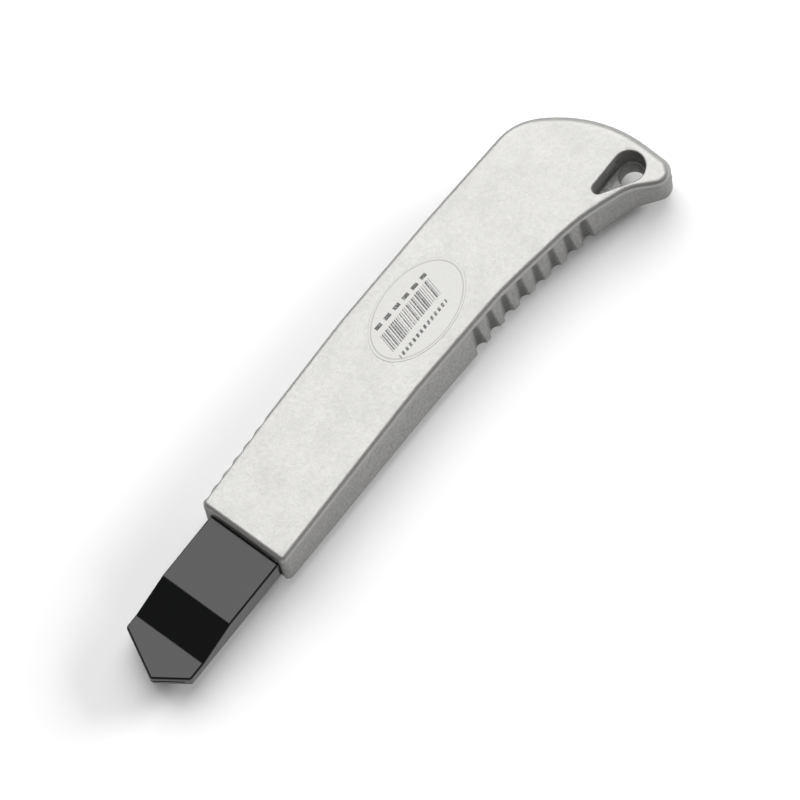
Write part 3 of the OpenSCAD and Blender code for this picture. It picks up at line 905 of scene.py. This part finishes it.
class KNIFE_OT_casing(bpy.types.Operator):
    """Build the cast body with its grip, recess and lanyard hole"""

    bl_idname = "knife.casing"
    bl_label = "Cast body"

    def execute(self, context):
        opening = bmesh.new()
        block(opening, -1, FRONT_WALL + 1, -NOSE_HW - FIT, NOSE_HW + FIT, RACK_Z - FIT, GUIDE_Z + FIT)
        bm = less(casing_shape(), opening, cover_bay(), guide_bay(), screw_seats())
        finish = cast_metal("tumbled casting", tuple(colours().casting), 0.4)
        piece(bm, "cast_body", "body", finish, "casing")
        return {"FINISHED"}


class KNIFE_OT_back_cover(bpy.types.Operator):
    """Build the back cover with its slot and screw seats"""

    bl_idname = "knife.back_cover"
    bl_label = "Back cover"

    def execute(self, context):
        bm = bmesh.new()
        slot_x0 = NECK_X - NECK_HL - 45.5
        slot_x1 = NECK_X + NECK_HL + 19.2
        lows = []
        tops = []
        for outline, way in ((behind_front_wall(WALL + FIT, FRONT_WALL + FIT), -1),
                             (box_outline(slot_x0, slot_x1, -SLOT_HW, SLOT_HW, 0.6), 1)):
            loops = [raised(outline, way * out, BACK_Z + 0.2 - down)
                     for out, down in reversed(rounding(0.2, 3))]
            low, top = loft(bm, loops + [raised(outline, 0, COVER_Z)])
            lows.append(low)
            tops.append(top)
        cap(bm, *lows)
        cap(bm, *tops)
        boss_room = bmesh.new()
        line = circle(HOLE_AT, BOSS_R + FIT, 56)
        filled(boss_room, [raised(line, 0.5, BACK_Z - 0.2), raised(line, 0, BACK_Z + 0.3),
                           raised(line, 0, COVER_Z + 1)])
        finish = cast_metal("cast cover", tuple(colours().cover), 0.46)
        bm = less(bm, boss_room, screw_seats(), rivet_holes())
        piece(bm, "back_cover_plate", "body", finish, "back_cover")
        return {"FINISHED"}


def rivet_holes():
    """Cutter for the four rivets of the lock strip."""
    bm = bmesh.new()
    low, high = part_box("rack_rivets")
    radius = 0.75
    for x in (plan_of(low)[0] + radius, plan_of(high)[0] - radius):
        for y in (-5, 5):
            cone(bm, (x, y), radius, radius, BACK_Z - 1, COVER_Z + 1, 24)
    return bm


def guide_outline():
    """Plan of the house-shaped nose and the narrower guide behind it."""
    return [
        (NOSE_X, -2.4), (NOSE_X + 5.65, -NOSE_HW), (FRONT_WALL, -NOSE_HW), (FRONT_WALL, -GUIDE_HW),
        (GUIDE_X1, -GUIDE_HW), (GUIDE_X1, GUIDE_HW), (FRONT_WALL, GUIDE_HW), (FRONT_WALL, NOSE_HW),
        (NOSE_X + 6.85, NOSE_HW),
    ]


def outside_body(edge):
    """Whether an edge of the nose lies in front of the body, or runs from there into it."""
    return all(plan_of(v.co)[0] < FRONT_WALL - 0.5 for v in edge.verts) or (
        min(plan_of(v.co)[0] for v in edge.verts) < -1 and max(plan_of(v.co)[0] for v in edge.verts) < 3)


class KNIFE_OT_nose(bpy.types.Operator):
    """Build the black nose and the floor of the blade guide"""

    bl_idname = "knife.nose"
    bl_label = "Nose and guide"

    def execute(self, context):
        finish = gloss_black("polished black", tuple(colours().nose))
        soft = shape().nose_round / MM
        foot_x = NOSE_X + 10.5
        top_x = NOSE_X + 21.8
        tip_z = SLOT_Z + 2.25
        housing = bmesh.new()
        prism(housing, guide_outline(), SLOT_Z, GUIDE_Z)
        ramp = bmesh.new()
        side_prism(ramp, [(NOSE_X - 1, tip_z), (foot_x, tip_z), (top_x, GUIDE_Z), (top_x, GUIDE_Z + 1),
                          (NOSE_X - 1, GUIDE_Z + 1)], -20, 20)
        housing = closed(less(housing, ramp))
        bevelled(housing, lambda e: is_crease(e, 12) and outside_body(e)
                 and max(plan_of(v.co)[2] for v in e.verts) > SLOT_Z + 0.1, soft, 4)
        room_x1 = GUIDE_X1 - 8.3
        inside = bmesh.new()
        block(inside, NOSE_X - 1, room_x1, -BAY_HW, BAY_HW, SLOT_Z - 1, SLOT_Z + 0.7)
        magazine = bmesh.new()
        block(magazine, top_x + 2, room_x1, -BAY_HW, BAY_HW, SLOT_Z - 1, GUIDE_Z - 1.2)
        housing = less(housing, inside, magazine)
        piece(housing, "nose_shell", "body", finish, "nose_housing", 26)

        floor = bmesh.new()
        prism(floor, guide_outline(), RACK_Z, SLOT_Z)
        closed(floor)
        bevelled(floor, lambda e: is_crease(e) and outside_body(e)
                 and min(plan_of(v.co)[2] for v in e.verts) < SLOT_Z - 0.1, soft)
        channel = bmesh.new()
        block(channel, 10.5, GUIDE_X1 - 8.5, -6.2, 6.2, RACK_Z - 1, SLOT_Z + 1)
        seats = bmesh.new()
        for y in (-5.5, 5.5):
            cone(seats, (GUIDE_X1 - 4, y), 2.1, 2.1, RACK_Z - 1, RACK_Z + 0.8)
        floor = less(floor, channel, seats)
        piece(floor, "nose_floor", "body", finish, "guide_floor", 26)
        return {"FINISHED"}


class KNIFE_OT_film(bpy.types.Operator):
    """Build the oval film with its plain bars"""

    bl_idname = "knife.film"
    bl_label = "Oval film"

    def execute(self, context):
        low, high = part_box("label")
        middle = (low + high) / 2
        half = (high - low) / 2
        turn = [2 * pi * k / 120 for k in range(120)]
        bm = bmesh.new()
        loops = []
        for back, z in ((0, low.z), (0, high.z - 0.00003), (0.00004, high.z)):
            loops.append([Vector((middle.x + (half.x - back) * cos(angle),
                                  middle.y + (half.y - back) * sin(angle), z)) for angle in turn])
        filled(bm, loops)
        finish = printed_film("printed film", tuple(colours().film), tuple(colours().ink))
        piece(bm, "oval_film", "body", finish, "label")
        return {"FINISHED"}


class KNIFE_OT_button(bpy.types.Operator):
    """Build the thumb button and finish its rubber pad"""

    bl_idname = "knife.button"
    bl_label = "Thumb button"

    def execute(self, context):
        low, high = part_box("thumb_button")
        x0, y0, _ = plan_of(low)
        x1, y1, z1 = plan_of(high)
        bm = bmesh.new()
        plan = box_outline(x0, x1, y0, y1, 5, 6)
        pad_pocket = [(-2, 1), (-2, 0.62), (-1.88, 0.5)]
        rim = [(-0.9 * (1 - sin(a)), 1.3 - 0.8 * cos(a)) for a in quarter(6)]
        underside = [(0, 2.2), (-0.09, 2.41), (-0.3, 2.5)]
        pocket, top = loft(bm, [raised(plan, out, z) for out, z in pad_pocket + rim + underside])
        cap(bm, pocket)
        neck = box_outline(NECK_X - NECK_HL, NECK_X + NECK_HL, -NECK_HW, NECK_HW, 0.3)
        neck_low, neck_top = loft(bm, [raised(neck, 0, 2.5), raised(neck, 0, z1)])
        cap(bm, top, neck_low)
        cap(bm, neck_top)
        finish = moulded("button plastic", tuple(colours().button), 0.42, 2600)
        piece(bm, "button_shell", "button", finish, "thumb_button")
        paint_nodes(moulded("ribbed rubber", tuple(colours().grip), 0.7, 1800), "button_grip")
        return {"FINISHED"}


class KNIFE_OT_blades(bpy.types.Operator):
    """Finish the working blade and the spares"""

    bl_idname = "knife.blades"
    bl_label = "Blades"

    def execute(self, context):
        paint_nodes(blade_steel("ground blade", tuple(colours().blade)), "blade", "spare_blades")
        return {"FINISHED"}


class KNIFE_OT_slide_parts(bpy.types.Operator):
    """Finish the carriage, lock and magazine parts"""

    bl_idname = "knife.slide_parts"
    bl_label = "Slide and lock parts"

    def execute(self, context):
        paint_nodes(steel("tempered strip", tuple(colours().spring), 0.34), "lock_rack", "follower_plate",
                    "follower_spring", "lock_spring")
        paint_nodes(steel("plated rivets", tuple(colours().rivet), 0.3, (8, 8, 8)), "rack_rivets",
                    "blade_hook", "hook_rivets", "spring_rivet", "button_retainer")
        paint_nodes(steel("dark screws", tuple(colours().screw), 0.36, (6, 6, 6)), "cover_screws",
                    "guide_screws", "retainer_screw")
        paint_nodes(moulded("slide plastic", tuple(colours().carriage), 0.5, 2200), "carriage")
        return {"FINISHED"}


class KNIFE_OT_studio(bpy.types.Operator):
    """Set the floor, the lights and the camera"""

    bl_idname = "knife.studio"
    bl_label = "Studio"

    def execute(self, context):
        studio = context.scene.knife_studio
        bm = bmesh.new()
        bmesh.ops.create_grid(bm, x_segments=1, y_segments=1, size=6)
        bmesh.ops.translate(bm, vec=(0, 0, -0.00002), verts=bm.verts)
        floor = object_of(bm, "floor")
        floor.data.materials.append(pale_floor("pale floor", tuple(colours().floor)))

        height = studio.light_height
        soft = area_light("soft light", 1.96 * height, 2 * height, studio.light_power)
        soft.location = (0.82 * height, 0.85 * height, height)
        fill = area_light("belly fill", 1.6, 1.2, studio.fill_power)
        fill.location = (3.0, -1.5, 1.3)
        fill.rotation_euler = (-fill.location).to_track_quat("-Z", "Y").to_euler()
        fill.visible_glossy = False

        world = bpy.data.worlds.new("dim surroundings")
        world.use_nodes = True
        world.node_tree.nodes["Background"].inputs["Color"].default_value = (1, 1, 1, 1)
        world.node_tree.nodes["Background"].inputs["Strength"].default_value = studio.sky
        context.scene.world = world

        away = Vector((-0.190, -0.285, 0.940)).normalized()
        up = Vector((0.7630, 0.5597, 0.3241))
        right = up.cross(away).normalized()
        up = away.cross(right).normalized()
        aim = Vector((0.00153, -0.00394, FACE_Z * MM))
        camera = bpy.data.objects.new("camera", bpy.data.cameras.new("camera"))
        camera.matrix_world = Matrix.Translation(aim + away * studio.camera_away) @ Matrix(
            (right, up, away)).transposed().to_4x4()
        camera.data.sensor_width = 36
        camera.data.lens = 36 * studio.camera_away / studio.frame_width
        camera.data.clip_start = 0.01
        context.collection.objects.link(camera)
        context.scene.camera = camera
        context.scene.view_settings.view_transform = "Standard"
        return {"FINISHED"}


def area_light(name, width, depth, power):
    """A soft rectangular light that the camera doesn't see."""
    data = bpy.data.lights.new(name, "AREA")
    data.shape = "RECTANGLE"
    data.size = width
    data.size_y = depth
    data.energy = power
    light = bpy.data.objects.new(name, data)
    light.visible_camera = False
    bpy.context.collection.objects.link(light)
    return light


# ---------------------------------------------------------------- panel and registration

BUILDERS = (KNIFE_OT_casing, KNIFE_OT_back_cover, KNIFE_OT_nose, KNIFE_OT_film, KNIFE_OT_button,
            KNIFE_OT_blades, KNIFE_OT_slide_parts, KNIFE_OT_studio)


class KNIFE_PT_builders(bpy.types.Panel):
    """Lists the knife's builders"""

    bl_idname = "KNIFE_PT_builders"
    bl_label = "Utility Knife"
    bl_space_type = "VIEW_3D"
    bl_region_type = "UI"
    bl_category = "Knife"

    def draw(self, context):
        for builder in BUILDERS:
            self.layout.operator(builder.bl_idname)


GROUPS = (("knife_shape", KnifeShape), ("knife_colours", KnifeColours), ("knife_studio", KnifeStudio))


def register():
    for name, group in GROUPS:
        bpy.utils.register_class(group)
        setattr(bpy.types.Scene, name, PointerProperty(type=group))
    for item in (*BUILDERS, KNIFE_PT_builders):
        bpy.utils.register_class(item)


def unregister():
    for item in (KNIFE_PT_builders, *reversed(BUILDERS)):
        bpy.utils.unregister_class(item)
    for name, group in reversed(GROUPS):
        delattr(bpy.types.Scene, name)
        bpy.utils.unregister_class(group)


def main():
    register()
    bpy.ops.knife.casing()
    bpy.ops.knife.back_cover()
    bpy.ops.knife.nose()
    bpy.ops.knife.film()
    bpy.ops.knife.button()
    bpy.ops.knife.blades()
    bpy.ops.knife.slide_parts()
    bpy.ops.knife.studio()


if __name__ == "__main__":
    main()
